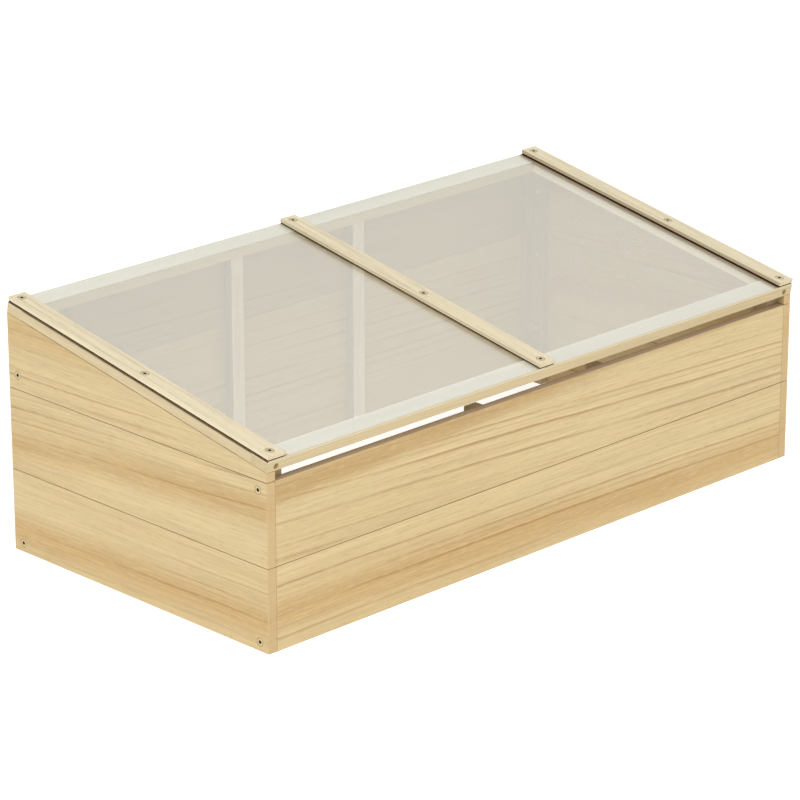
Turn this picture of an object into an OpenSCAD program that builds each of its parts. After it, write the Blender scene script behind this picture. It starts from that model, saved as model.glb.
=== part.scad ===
// Timber cold frame: four boarded walls without a floor, and one glazed lid
// hinged along the rear.
// Origin at the middle of the footprint, on the ground. X runs along the front,
// Y runs to the rear, Z runs up. All sizes are in millimetres.

/* [Walls] */
// Overall width of the box
box_w = 1000; // [700:10:1600]
// Overall depth of the box, over the front and rear boards
box_d = 500; // [350:10:800]
// Height of the side walls at the front corner
front_h = 243; // [180:1:320]
// Height of the side walls at the rear corner
back_h = 333.5; // [325:0.5:480]
// Height of the airing slot between the front wall and the lid
vent_gap = 13; // [6:1:26]
// Thickness of the side boards
side_t = 14; // [10:0.5:22]
// Thickness of the front and rear boards
wall_t = 12; // [9:0.5:15]
// Open joint between two boards of a wall
board_gap = 0.8; // [0:0.1:1.2]

/* [Battens] */
// Width of every batten
batten_w = 22; // [18:1:40]
// Thickness of every batten
batten_t = 14; // [11:0.5:24]
// Distance of the middle battens from the centre of the box
batten_x = 116; // [60:1:260]

/* [Lid] */
// Width of the lid rails
rail_w = 30; // [24:1:50]
// Thickness of the lid rails
rail_t = 14; // [11:0.5:22]
// Thickness of the glazing sheets
sheet_t = 2; // [1.5:0.5:6]
// Distance of the sheets from the outer edges of the lid
sheet_inset = 0.5; // [0.5:0.5:5]
// Gap between the two sheets under the centre strip
sheet_gap = 2; // [1:0.5:4]
// Width of the strips that hold the sheets down
strip_w = 28; // [24:1:40]
// Thickness of the strips
strip_t = 5; // [4.5:0.5:10]
// Thickness of the sealing tape between each strip and the sheets
tape_t = 2; // [1:0.5:3]
// Distance of the tape from the edges of its strip
tape_inset = 1; // [0.5:0.5:6]
// Gap between the closed lid and the top of the walls
lid_gap = 0.6; // [0.2:0.1:1]

/* [Screws] */
// Shank diameter of the wall and strip screws
screw_d = 4; // [3:0.5:5]
// Head diameter of the wall and strip screws
head_d = 12; // [10:0.5:12.5]
// Depth of each head below the surface
head_sink = 0.5; // [0.2:0.1:0.8]
// Distance of the wall screws behind the front and rear boards
screw_edge = 5; // [3.5:0.5:7]
// Height of the lowest wall screws
screw_low = 12; // [9:1:20]
// Drop of the upper front screw below the second board joint
screw_drop = 13; // [9:1:20]
// Rise of the upper rear screw above the second board joint
screw_rise = 20; // [10:1:21]
// Height of the lid frame screws above the underside of the rails
frame_screw_h = 6; // [5:0.5:7]
// Diameter of the sunk holes in the front and rear rails
cbore_d = 8; // [7.5:0.5:9]
// Depth of those sunk holes
cbore_l = 5; // [3:1:5]
// Shank diameter of the nails that hold boards to battens
nail_d = 1.8; // [1.4:0.1:2.4]
// Head diameter of those nails
nail_head_d = 4; // [3:0.5:5]

/* [Hinges] */
// Length of each hinge
hinge_l = 50; // [40:1:80]
// Distance of each hinge's middle from its end of the box
hinge_inset = 200; // [100:5:250]
// Thickness of the hinge leaves
leaf_t = 1.2; // [1:0.1:1.6]
// Radius of the hinge knuckles
knuckle_r = 2.6; // [2.4:0.1:3.5]
// Radius of the hinge pins
pin_r = 1.2; // [1:0.1:1.5]

/* [Hidden] */
fit = 0.05;                  // clearance round screws, nails and hinge pins
knuckle_play = 0.4;          // clearance round and between the knuckles
leaf_margin = 2;             // wood left beyond a hinge leaf
hinge_screw_d = 2.8;
hinge_head_d = 5.6;
hinge_screw_bite = 9;        // length of a hinge screw behind its leaf
hinge_rows = [-1, 1];        // places of the two screws in a leaf
frame_screw_d = 3.5;
frame_head_d = 7;            // cheese head of the lid frame screws
frame_head_l = 3;
frame_bite = 24;             // length of those screws inside a side rail
washer_t = 1;
washer_d = 12;
nut_h = 3.2;
nut_w = 7;
pin_head_l = 0.6;            // flattened ends of the hinge pins
pin_rim = 0.7;               // how far those ends stand out round the pin
nail_edge = 28;              // distance of a nail from the edge of its board
nail_head_l = 1;
tip_cover = 3;               // wood left beyond the point of a screw or nail
screw_clear = 0.6;           // distance between two screws that cross
strip_front = 13.5;          // distance of the end screws from a strip's front end
strip_rear = 11;             // and from its rear end
strip_mid = [-4, -18.5, -27]; // middle screws of the strips, from left to right,
                             // measured from the middle of the slope
recess_l = 0.42;             // length of a cross recess, as a share of the head
recess_w = 0.1;              // width of its arms

row_h = (front_h - vent_gap) / 2;       // height of one full row of boards
slope = atan((back_h - front_h) / box_d);
lid_l = box_d / cos(slope);
stack = rail_t + sheet_t + tape_t + strip_t; // thickness of the lid over a strip
pin_off = knuckle_r + knuckle_play;     // pin axis behind the rear wall
half_w = box_w / 2;
in_x = half_w - side_t;                 // inner face of a side wall
// The footprint's middle allows for the leaning lid and the hinge knuckles.
y_front = -(box_d + pin_off + knuckle_r - stack * sin(slope)) / 2;
y_back = y_front + box_d;
in_front = y_front + wall_t;
in_back = y_back - wall_t;
pin_y = y_back + pin_off;
pin_z = back_h + lid_gap / 2;
hinge_x = half_w - hinge_inset;
leaf_h = rail_t - leaf_margin;
screw_inset = wall_t + screw_edge;      // wall screws from the edges of the sides
strip_x = half_w - strip_w / 2;
rail_x = half_w - rail_w / 2;
wall_rows = [0, row_h, 2 * row_h];

// Height of the sloping top of the walls at a place along Y.
function roof(y) = front_h + (y - y_front) * tan(slope);
// Heights of the nails where a batten crosses a board from lo to hi.
function nail_zs(lo, hi) = hi - lo < 3 * nail_edge
    ? [(lo + hi) / 2] : [lo + nail_edge, hi - nail_edge];

// Place along the slope of a strip's front, middle or rear screw.
function strip_screw_s(x, row) = row == 0 ? strip_front : row == 2 ? lid_l - strip_rear
    : lid_l / 2 + strip_mid[1 + sign(x)];

// ---- placing helpers ----

// Turns a piece that faces up so that it faces one side of the box.
module facing(side) {
    turn = side == "left" ? [0, -90, 0] : side == "right" ? [0, 90, 0]
         : side == "front" ? [90, 0, 0] : side == "back" ? [-90, 0, 0] : [0, 0, 0];
    rotate(turn) children();
}

// A block from one corner to the other.
module block(a, b) translate(a) cube(b - a);

// A slab that runs along X from x0 to x1 and has its outline in Y and Z.
module slab_x(x0, x1, outline)
    translate([x0, 0, 0]) rotate([90, 0, 90]) linear_extrude(x1 - x0) polygon(outline);

// The lid's own frame: Y runs up the slope and Z stands square to it.
module on_lid() translate([0, y_front, front_h + lid_gap]) rotate([slope, 0, 0]) children();

// ---- fasteners, each with its head at the origin and facing up ----

module cross_recess(d, deep) for (turn = [0, 90]) rotate(turn)
    translate([-d * recess_l / 2, -d * recess_w / 2, -deep])
        cube([d * recess_l, d * recess_w, deep + 1]);

module flat_screw(d, head, l, sink) {
    cone = (head - d) / 2;
    translate([0, 0, -sink]) difference() {
        union() {
            translate([0, 0, -cone]) cylinder(h = cone, d1 = d, d2 = head, $fn = 48);
            translate([0, 0, -l]) cylinder(h = l - cone, d = d, $fn = 32);
        }
        cross_recess(head, cone * 0.5);
    }
}

module flat_screw_hole(d, head, l, sink) {
    cone = (head - d) / 2;
    mouth = head + 2 * sink + 2 * fit;
    translate([0, 0, -sink - cone])
        cylinder(h = cone + sink, d1 = d + 2 * fit, d2 = mouth, $fn = 48);
    translate([0, 0, -sink - l - fit]) cylinder(h = l + fit, d = d + 2 * fit, $fn = 32);
    cylinder(h = 1, d = mouth, $fn = 48);
}

module nail(l) {
    translate([0, 0, -nail_head_l]) cylinder(h = nail_head_l, d = nail_head_d, $fn = 24);
    translate([0, 0, -l]) cylinder(h = l, d = nail_d, $fn = 20);
}

module nail_hole(l) {
    translate([0, 0, -nail_head_l]) cylinder(h = nail_head_l + 1, d = nail_head_d + 2 * fit, $fn = 24);
    translate([0, 0, -l - fit]) cylinder(h = l + fit, d = nail_d + 2 * fit, $fn = 20);
}

module cheese_screw(l) difference() {
    union() {
        translate([0, 0, -frame_head_l]) cylinder(h = frame_head_l, d = frame_head_d, $fn = 32);
        translate([0, 0, -l]) cylinder(h = l, d = frame_screw_d, $fn = 32);
    }
    cross_recess(frame_head_d, frame_head_l * 0.6);
}

// ---- where the fasteners go ----

// Wall screws pass through a side wall into the end battens.
wall_screw_l = side_t - head_sink + batten_w - 2 * tip_cover;
wall_screw_yz = [
    [y_front + screw_inset, screw_low], [y_front + screw_inset, 2 * row_h - screw_drop],
    [y_back - screw_inset, screw_low], [y_back - screw_inset, 2 * row_h + screw_rise]
];
module at_wall_screws(side) for (p = wall_screw_yz)
    translate([(side == "left" ? -1 : 1) * half_w, p[0], p[1]]) facing(side) children();

// Nails pass through a batten into each board behind it.
front_tops = [row_h, 2 * row_h];
back_tops = [row_h, 2 * row_h, roof(in_back)];
end_x = in_x - batten_w / 2;
cross_xs = [-end_x, -batten_x, batten_x, end_x];
front_nail_l = batten_t + wall_t - tip_cover;
side_nail_l = batten_t + side_t - tip_cover;
side_batten_y = [in_front + batten_t + batten_w / 2, in_back - batten_t - batten_w / 2];
module at_front_nails() for (x = cross_xs, row = [0, 1], z = nail_zs(wall_rows[row], front_tops[row]))
    translate([x, in_front + batten_t, z]) facing("back") children();
module at_back_nails() for (x = cross_xs, row = [0, 1, 2], z = nail_zs(wall_rows[row], back_tops[row]))
    translate([x, in_back - batten_t, z]) facing("front") children();
module at_side_nails(side) {
    sign = side == "left" ? -1 : 1;
    inward = side == "left" ? "right" : "left";
    for (y = side_batten_y, row = [0, 1, 2],
         z = nail_zs(wall_rows[row], row < 2 ? wall_rows[row + 1] : roof(y)))
        translate([sign * (in_x - batten_t), y, z]) facing(inward) children();
}

// Strip screws pass through a strip and a sheet into the rail below, and stop
// short of the lid frame screws.
strip_screw_l = stack - head_sink - frame_screw_h - frame_screw_d / 2 - screw_clear;
clamp_screw_l = strip_t - head_sink + tape_t + sheet_t + washer_t + nut_h + 1;
module at_strip_screws(x, rows) for (row = rows)
    translate([x, strip_screw_s(x, row), stack]) children();

// Lid frame screws pass through an end rail into the end of a side rail.
frame_screw_l = rail_w - cbore_l + frame_bite;
module at_frame_screws() for (x = [-rail_x, rail_x]) {
    translate([x, cbore_l, frame_screw_h]) facing("front") children();
    translate([x, lid_l - cbore_l, frame_screw_h]) facing("back") children();
}
module frame_screw_holes() at_frame_screws() {
    cylinder(h = cbore_l + 1, d = cbore_d, $fn = 32);
    translate([0, 0, -frame_head_l - fit])
        cylinder(h = frame_head_l + fit, d = frame_head_d + 2 * fit, $fn = 32);
    translate([0, 0, -frame_screw_l - fit])
        cylinder(h = frame_screw_l + fit, d = frame_screw_d + 2 * fit, $fn = 32);
}

// Hinge screws: one row of two in each leaf.
module at_box_leaf_screws() for (x = [-hinge_x, hinge_x], k = hinge_rows)
    translate([x + k * hinge_l / 4, y_back + leaf_t, pin_z - knuckle_r - leaf_h / 2])
        facing("back") children();
module at_lid_leaf_screws() for (x = [-hinge_x, hinge_x], k = hinge_rows)
    translate([x + k * hinge_l / 4, lid_l + leaf_t, rail_t / 2 + knuckle_r / 2])
        facing("back") children();
box_leaf_screw_l = leaf_t + min(hinge_screw_bite, wall_t - tip_cover);
lid_leaf_screw_l = leaf_t + hinge_screw_bite;
module hinge_screw(l) flat_screw(hinge_screw_d, hinge_head_d, l, 0);
module hinge_screw_hole(l) flat_screw_hole(hinge_screw_d, hinge_head_d, l, 0);

// ---- boards ----

module board_colour() color([0.87, 0.77, 0.58]) children();

module side_board(side, row) {
    sign = side == "left" ? -1 : 1;
    a = sign < 0 ? -half_w : in_x;
    z0 = wall_rows[row] + (row > 0 ? board_gap / 2 : 0);
    level = row < 2 ? wall_rows[row + 1] - board_gap / 2 : 0;
    z_front = row < 2 ? level : front_h;
    z_back = row < 2 ? level : back_h;
    board_colour() difference() {
        slab_x(a, a + side_t, [[y_front, z0], [y_back, z0], [y_back, z_back], [y_front, z_front]]);
        at_wall_screws(side) flat_screw_hole(screw_d, head_d, wall_screw_l, head_sink);
        at_side_nails(side) nail_hole(side_nail_l);
    }
}
module left_side_board_lower() side_board("left", 0);
module left_side_board_middle() side_board("left", 1);
module left_side_board_top() side_board("left", 2);
module right_side_board_lower() side_board("right", 0);
module right_side_board_middle() side_board("right", 1);
module right_side_board_top() side_board("right", 2);

module front_board(row) {
    z0 = wall_rows[row] + (row > 0 ? board_gap / 2 : 0);
    z1 = front_tops[row] - (row == 0 ? board_gap / 2 : 0);
    board_colour() difference() {
        block([-in_x, y_front, z0], [in_x, in_front, z1]);
        at_front_nails() nail_hole(front_nail_l);
    }
}
module front_board_lower() front_board(0);
module front_board_upper() front_board(1);

module back_board(row) {
    z0 = wall_rows[row] + (row > 0 ? board_gap / 2 : 0);
    level = row < 2 ? wall_rows[row + 1] - board_gap / 2 : 0;
    z_in = row < 2 ? level : roof(in_back);
    z_out = row < 2 ? level : back_h;
    board_colour() difference() {
        slab_x(-in_x, in_x, [[in_back, z0], [y_back, z0], [y_back, z_out], [in_back, z_in]]);
        at_back_nails() nail_hole(front_nail_l);
        at_box_leaf_screws() hinge_screw_hole(box_leaf_screw_l);
    }
}
module back_board_lower() back_board(0);
module back_board_middle() back_board(1);
module back_board_top() back_board(2);

// ---- battens ----

module batten_colour() color([0.9, 0.82, 0.65]) children();

// An upright batten from x0 and y0, dx by dy in plan, cut to the slope of the lid.
module tall_batten(x0, y0, dx, dy)
    slab_x(x0, x0 + dx, [[y0, 0], [y0 + dy, 0], [y0 + dy, roof(y0 + dy)], [y0, roof(y0)]]);

module front_end_batten(side) {
    x0 = side == "left" ? -in_x : in_x - batten_w;
    batten_colour() difference() {
        tall_batten(x0, in_front, batten_w, batten_t);
        at_front_nails() nail_hole(front_nail_l);
        at_wall_screws(side) flat_screw_hole(screw_d, head_d, wall_screw_l, head_sink);
    }
}
module front_end_batten_left() front_end_batten("left");
module front_end_batten_right() front_end_batten("right");

module front_batten(sign) {
    x0 = sign * batten_x - batten_w / 2;
    batten_colour() difference() {
        block([x0, in_front, 0], [x0 + batten_w, in_front + batten_t, 2 * row_h]);
        at_front_nails() nail_hole(front_nail_l);
    }
}
module front_batten_left() front_batten(-1);
module front_batten_right() front_batten(1);

module back_end_batten(side) {
    x0 = side == "left" ? -in_x : in_x - batten_w;
    batten_colour() difference() {
        tall_batten(x0, in_back - batten_t, batten_w, batten_t);
        at_back_nails() nail_hole(front_nail_l);
        at_wall_screws(side) flat_screw_hole(screw_d, head_d, wall_screw_l, head_sink);
    }
}
module back_end_batten_left() back_end_batten("left");
module back_end_batten_right() back_end_batten("right");

module back_batten(sign) {
    x0 = sign * batten_x - batten_w / 2;
    batten_colour() difference() {
        tall_batten(x0, in_back - batten_t, batten_w, batten_t);
        at_back_nails() nail_hole(front_nail_l);
    }
}
module back_batten_left() back_batten(-1);
module back_batten_right() back_batten(1);

module side_batten(side, end) {
    x0 = side == "left" ? -in_x : in_x - batten_t;
    batten_colour() difference() {
        tall_batten(x0, side_batten_y[end] - batten_w / 2, batten_t, batten_w);
        at_side_nails(side) nail_hole(side_nail_l);
    }
}
module left_side_batten_front() side_batten("left", 0);
module left_side_batten_rear() side_batten("left", 1);
module right_side_batten_front() side_batten("right", 0);
module right_side_batten_rear() side_batten("right", 1);

// ---- fasteners of the box ----

module steel() color([0.72, 0.7, 0.62]) children();

module wall_screws(side) steel() at_wall_screws(side)
    flat_screw(screw_d, head_d, wall_screw_l, head_sink);
module left_wall_screws() wall_screws("left");
module right_wall_screws() wall_screws("right");
module front_wall_nails() steel() at_front_nails() nail(front_nail_l);
module back_wall_nails() steel() at_back_nails() nail(front_nail_l);
module left_wall_nails() steel() at_side_nails("left") nail(side_nail_l);
module right_wall_nails() steel() at_side_nails("right") nail(side_nail_l);

// ---- hinges ----

lid_knuckle_l = hinge_l * 0.4;
box_knuckle_l = (hinge_l - lid_knuckle_l) / 2 - knuckle_play;

// Runs a round bar along X, through the pin axis, from the middle of a hinge.
module along_pin(x0, l, r)
    translate([x0, pin_y, pin_z]) rotate([0, 90, 0]) cylinder(h = l, r = r, $fn = 48);

module hinge_box_leaf(x) steel() difference() {
    leaf_low = pin_z - knuckle_r - leaf_h;
    space_l = lid_knuckle_l + 2 * knuckle_play;
    union() {
        block([x - hinge_l / 2, y_back, leaf_low], [x + hinge_l / 2, y_back + leaf_t, pin_z]);
        for (x0 = [x - hinge_l / 2, x + hinge_l / 2 - box_knuckle_l])
            along_pin(x0, box_knuckle_l, knuckle_r);
    }
    along_pin(x - space_l / 2, space_l, knuckle_r + knuckle_play);
    along_pin(x - hinge_l / 2 - 1, hinge_l + 2, pin_r + fit);
    at_box_leaf_screws() hinge_screw_hole(box_leaf_screw_l);
}
module hinge_box_leaf_left() hinge_box_leaf(-hinge_x);
module hinge_box_leaf_right() hinge_box_leaf(hinge_x);

module hinge_lid_leaf(x) steel() difference() {
    union() {
        on_lid() translate([x - hinge_l / 2, lid_l, 0])
            cube([hinge_l, leaf_t, leaf_h + leaf_margin / 2]);
        along_pin(x - lid_knuckle_l / 2, lid_knuckle_l, knuckle_r);
    }
    for (x0 = [x - hinge_l / 2 - 1, x + lid_knuckle_l / 2])
        along_pin(x0, box_knuckle_l + knuckle_play + 1, knuckle_r + knuckle_play);
    along_pin(x - hinge_l / 2 - 1, hinge_l + 2, pin_r + fit);
    on_lid() at_lid_leaf_screws() hinge_screw_hole(lid_leaf_screw_l);
}
module hinge_lid_leaf_left() hinge_lid_leaf(-hinge_x);
module hinge_lid_leaf_right() hinge_lid_leaf(hinge_x);

module hinge_pin(x) steel() {
    along_pin(x - hinge_l / 2 - fit, hinge_l + 2 * fit, pin_r);
    for (x0 = [x - hinge_l / 2 - fit - pin_head_l, x + hinge_l / 2 + fit])
        along_pin(x0, pin_head_l, pin_r + pin_rim);
}
module hinge_pin_left() hinge_pin(-hinge_x);
module hinge_pin_right() hinge_pin(hinge_x);

module hinge_box_screws() steel() at_box_leaf_screws() hinge_screw(box_leaf_screw_l);
module hinge_lid_screws() steel() on_lid() at_lid_leaf_screws() hinge_screw(lid_leaf_screw_l);

// ---- lid ----

module rail_colour() color([0.92, 0.85, 0.68]) children();

module strip_screw_holes(x, rows) at_strip_screws(x, rows)
    flat_screw_hole(screw_d, head_d, strip_screw_l, head_sink);

module end_rail(s0) rail_colour() on_lid() difference() {
    block([-half_w, s0, 0], [half_w, s0 + rail_w, rail_t]);
    for (x = [-strip_x, 0, strip_x]) strip_screw_holes(x, [0, 2]);
    frame_screw_holes();
    at_lid_leaf_screws() hinge_screw_hole(lid_leaf_screw_l);
}
module lid_front_rail() end_rail(0);
module lid_rear_rail() end_rail(lid_l - rail_w);

module side_rail(sign) rail_colour() on_lid() difference() {
    translate([sign * rail_x - rail_w / 2, rail_w, 0]) cube([rail_w, lid_l - 2 * rail_w, rail_t]);
    strip_screw_holes(sign * strip_x, [1]);
    frame_screw_holes();
}
module lid_left_rail() side_rail(-1);
module lid_right_rail() side_rail(1);

module lid_frame_screws() steel() on_lid() at_frame_screws() cheese_screw(frame_screw_l);

module cover_sheet(sign) {
    x0 = sign < 0 ? -half_w + sheet_inset : sheet_gap / 2;
    color([0.9, 0.93, 0.92, 0.35]) on_lid() difference() {
        translate([x0, sheet_inset, rail_t])
            cube([half_w - sheet_inset - sheet_gap / 2, lid_l - 2 * sheet_inset, sheet_t]);
        strip_screw_holes(sign * strip_x, [0, 1, 2]);
        strip_screw_holes(0, [0, 1, 2]);
    }
}
module cover_sheet_left() cover_sheet(-1);
module cover_sheet_right() cover_sheet(1);

module tape(x) color([0.2, 0.17, 0.14]) on_lid() difference() {
    translate([x - strip_w / 2 + tape_inset, tape_inset, rail_t + sheet_t])
        cube([strip_w - 2 * tape_inset, lid_l - 2 * tape_inset, tape_t]);
    strip_screw_holes(x, [0, 1, 2]);
}
module left_sealing_tape() tape(-strip_x);
module centre_sealing_tape() tape(0);
module right_sealing_tape() tape(strip_x);

module strip(x) rail_colour() on_lid() difference() {
    translate([x - strip_w / 2, 0, rail_t + sheet_t + tape_t]) cube([strip_w, lid_l, strip_t]);
    strip_screw_holes(x, [0, 1, 2]);
}
module left_strip() strip(-strip_x);
module centre_strip() strip(0);
module right_strip() strip(strip_x);

module strip_screws(x, rows) at_strip_screws(x, rows)
    flat_screw(screw_d, head_d, strip_screw_l, head_sink);
module left_strip_screws() steel() on_lid() strip_screws(-strip_x, [0, 1, 2]);
module right_strip_screws() steel() on_lid() strip_screws(strip_x, [0, 1, 2]);
// The middle screw of the centre strip has no rail below it, so it has a nut.
module centre_strip_screws() steel() on_lid() {
    strip_screws(0, [0, 2]);
    at_strip_screws(0, [1]) flat_screw(screw_d, head_d, clamp_screw_l, head_sink);
}

module under_sheet() on_lid() translate([0, strip_screw_s(0, 1), rail_t]) children();
module centre_screw_washer() steel() under_sheet() difference() {
    translate([0, 0, -washer_t]) cylinder(h = washer_t, d = washer_d, $fn = 48);
    translate([0, 0, -washer_t - 1]) cylinder(h = washer_t + 2, d = screw_d + 2 * fit, $fn = 32);
}
module centre_screw_nut() steel() under_sheet() difference() {
    translate([0, 0, -washer_t - nut_h]) cylinder(h = nut_h, d = nut_w / cos(30), $fn = 6);
    translate([0, 0, -washer_t - nut_h - 1]) cylinder(h = nut_h + 2, d = screw_d + 2 * fit, $fn = 32);
}

left_side_board_lower();
left_side_board_middle();
left_side_board_top();
right_side_board_lower();
right_side_board_middle();
right_side_board_top();
front_board_lower();
front_board_upper();
back_board_lower();
back_board_middle();
back_board_top();
front_end_batten_left();
front_end_batten_right();
front_batten_left();
front_batten_right();
back_end_batten_left();
back_end_batten_right();
back_batten_left();
back_batten_right();
left_side_batten_front();
left_side_batten_rear();
right_side_batten_front();
right_side_batten_rear();
left_wall_screws();
right_wall_screws();
front_wall_nails();
back_wall_nails();
left_wall_nails();
right_wall_nails();
hinge_box_leaf_left();
hinge_box_leaf_right();
hinge_pin_left();
hinge_pin_right();
hinge_box_screws();
hinge_lid_leaf_left();
hinge_lid_leaf_right();
hinge_lid_screws();
lid_front_rail();
lid_rear_rail();
lid_left_rail();
lid_right_rail();
lid_frame_screws();
cover_sheet_left();
cover_sheet_right();
left_sealing_tape();
centre_sealing_tape();
right_sealing_tape();
left_strip();
centre_strip();
right_strip();
left_strip_screws();
centre_strip_screws();
right_strip_screws();
centre_screw_washer();
centre_screw_nut();
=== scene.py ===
import math
import random

import bpy
from mathutils import Euler, Matrix, Vector


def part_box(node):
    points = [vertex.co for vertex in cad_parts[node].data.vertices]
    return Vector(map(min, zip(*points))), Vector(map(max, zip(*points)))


bl_info = {
    "name": "Cold Frame Finishes",
    "version": (1, 0, 0),
    "blender": (4, 5, 0),
    "location": "3D View > Sidebar > Cold Frame",
    "description": "Timber, glazing and hardware finishes for a cold frame",
    "category": "Material",
}

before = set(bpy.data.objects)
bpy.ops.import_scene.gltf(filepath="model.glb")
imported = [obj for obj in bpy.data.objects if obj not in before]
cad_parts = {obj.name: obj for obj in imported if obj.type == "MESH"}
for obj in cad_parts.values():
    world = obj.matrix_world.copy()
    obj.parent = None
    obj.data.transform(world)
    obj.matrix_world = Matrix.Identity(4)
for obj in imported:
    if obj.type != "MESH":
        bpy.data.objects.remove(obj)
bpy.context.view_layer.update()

# The lid leans by this much from the rear down to the front.
LEAN = math.radians(10.26)
QUARTER = math.pi / 2

# Turns that bring a board's own grain onto X.
ALONG_X = Euler((0, 0, 0))
ALONG_Y = Euler((0, 0, -QUARTER))
ALONG_Z = Euler((0, QUARTER, 0))
ACROSS_LID = Euler((-LEAN, 0, 0))
DOWN_LID = Euler((-LEAN, 0, -QUARTER))
# The turn that brings a wall screw onto Z.
FACING_SIDE = Euler((0, -QUARTER, 0))

SIDE_BOARDS = [f"{side}_side_board_{row}" for side in ("left", "right")
               for row in ("lower", "middle", "top")]
END_BOARDS = ["front_board_lower", "front_board_upper",
              "back_board_lower", "back_board_middle", "back_board_top"]
BATTENS = [f"{wall}_{kind}_{side}" for wall in ("front", "back")
           for kind in ("end_batten", "batten") for side in ("left", "right")]
BATTENS += [f"{side}_side_batten_{end}" for side in ("left", "right")
            for end in ("front", "rear")]
STRIPS = ["left_strip", "centre_strip", "right_strip"]
SHEETS = ["cover_sheet_left", "cover_sheet_right"]
TAPES = ["left_sealing_tape", "centre_sealing_tape", "right_sealing_tape"]
MARKED_SCREWS = [("left_wall_screws", FACING_SIDE), ("right_wall_screws", FACING_SIDE),
                 ("left_strip_screws", ACROSS_LID), ("centre_strip_screws", ACROSS_LID),
                 ("right_strip_screws", ACROSS_LID)]
CLAMP_FITTINGS = ["centre_screw_washer", "centre_screw_nut"]
NAILS = ["front_wall_nails", "back_wall_nails", "left_wall_nails", "right_wall_nails"]
HINGES = [f"hinge_{part}_{side}" for part in ("box_leaf", "lid_leaf", "pin")
          for side in ("left", "right")]
HINGE_SCREWS = ["hinge_box_screws", "hinge_lid_screws"]

# Screws of one node are further apart than this, and their heads are smaller.
SCREW_APART = 0.013

# Noise cells per metre along a board and twice across it, for each part of its figure.
WANDER_CELLS = (1.3, 3.0, 3.0)
RIPPLE_CELLS = (7.0, 24.0, 24.0)
PATCH_CELLS = (1.8, 26.0, 26.0)
STREAK_CELLS = (2.6, 120.0, 120.0)
FIBRE_CELLS = (14.0, 420.0, 420.0)
FLECK_CELLS = (46.0, 620.0, 620.0)
PORE_CELLS = (52.0, 480.0, 480.0)
CLOUD_CELLS = (1.2, 12.0, 12.0)
RAGGED_CELLS = (2.0, 6.0, 6.0)
# How far, in metres, the rings and the sides of a warm band stray from a plain line.
WANDER_REACH = (0, 0.022, 0.022)
RIPPLE_REACH = (0, 0.0022, 0.0022)
RAGGED_REACH = 0.05
# Noise cells per metre out from the heart, and how many rings the years shift.
YEAR_CELLS = 34.0
YEAR_SHIFT = 2.2
FINE_CELLS = 240.0
# Where in its year a ring darkens and where it ends, and how late the darkening comes.
RING_RISE = (0.1, 0.93)
RING_END = (0.94, 1.0)
RING_LATENESS = 5.5
# The faintest and the strongest line that a year leaves.
RING_LINES = (0.2, 1.15)
# The part of a noise's range that most of it lies in, and the tones laid over it.
NOISE_SPAN = (0.3, 0.7)
FINE_TONES = (0.945, 1.035)
STREAK_TONES = (0.94, 1.04)
FIBRE_TONES = (0.94, 1.045)
PORE_SHARE = 0.18
FLECK_SHARE = 0.4
FLECK_TONE = 1.08
TIMBER_ROUGHNESS = (0.5, 0.62)

# Edge wear, and the skin in which a mask takes a point to be on a board's face.
RUB_REACH = 0.0022
RUB_CELLS = (38, 38, 38)
SIDE_SKIN = (0.0004, 0.0009)
TOP_SKIN = (0.0001, 0.0005)
# Corners sharper than the angle are eased, once points this close are welded.
WELD_REACH = 0.00001
SHARP_ANGLE = math.radians(40)
# Tones made from a board's own colours, its relief and its sheen.
RUBBED_TONE = 1.12
# The edge shade tone gives painted shade in the board joints, on the flanks and along the lid
# rails' outer edges.
EDGE_SHADE_TONE = 0.4
CUT_END_ROUGHER = 0.15
INNER_RELIEF = 0.25
TIMBER_SHEEN = 0.35
GRAIN_DEPTH = 0.0004
# The rear wall's top board lies in the lid's shade and takes stronger painted shade inside.
TOP_BOARD_SHADE = 2.0
# The painted shade band along the front wall's top edge leaves the board towards the right.
SHADED_BAND_SLOPE = -0.04

# Glazing: widths are in metres, from an edge of the sheets or of an outer strip.
BORDER_BLUR = 0.0005
# The cut edges lie in this skin and hide this share; under the strips they take painted shade.
CUT_SKIN = (0.0006, 0.0009)
CUT_COVER = 0.95
# The painted reflection and shade beside an outer strip, and the painted shade in its corner, fade
# out over these widths.
REFLECTION_FADE = (0.003, 0.0095)
CORNER_FADE = (0.0006, 0.0022)
CORNER_COVER = 0.95
SMEAR_TONE = 0.97
SHEET_ROUGHNESS = 0.3
SHEET_SHEEN = 0.15
MIRROR_TINT = (1, 0.99, 0.94)
MIRROR_RISE = 0.32
MIRROR_CURVE = 1.5

# Sealing tape: cells per metre, and the strength and depth in metres of its relief.
FOAM_CELLS = 1400.0
FOAM_RELIEF = 0.4
FOAM_DEPTH = 0.0003
FOAM_ROUGHNESS = (0.82, 0.95)
FADED_FOAM_TONE = 1.5

# Screw heads: shares of the head's radius at which the painted shade of the rim and the painted
# shade of the socket change.
RIM_BAND = (0.78, 0.9)
SOCKET_BAND = (0.3, 0.46)
SOCKET_SHARE = 0.95
# Steel: marks per metre, relief, and how metallic dulled parts look.
SPOT_CELLS = (180, 180, 180)
SCRATCH_CELLS = (2600, 300, 900)
WORN_STEEL_TONE = 0.86
STEEL_RELIEF = 0.2
STEEL_DEPTH = 0.0001
STEEL_ROUGHNESS = (0.26, 0.44)
SUNK_SCREW_METALLIC = 0.2
NAIL_METALLIC = 0.3

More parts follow.
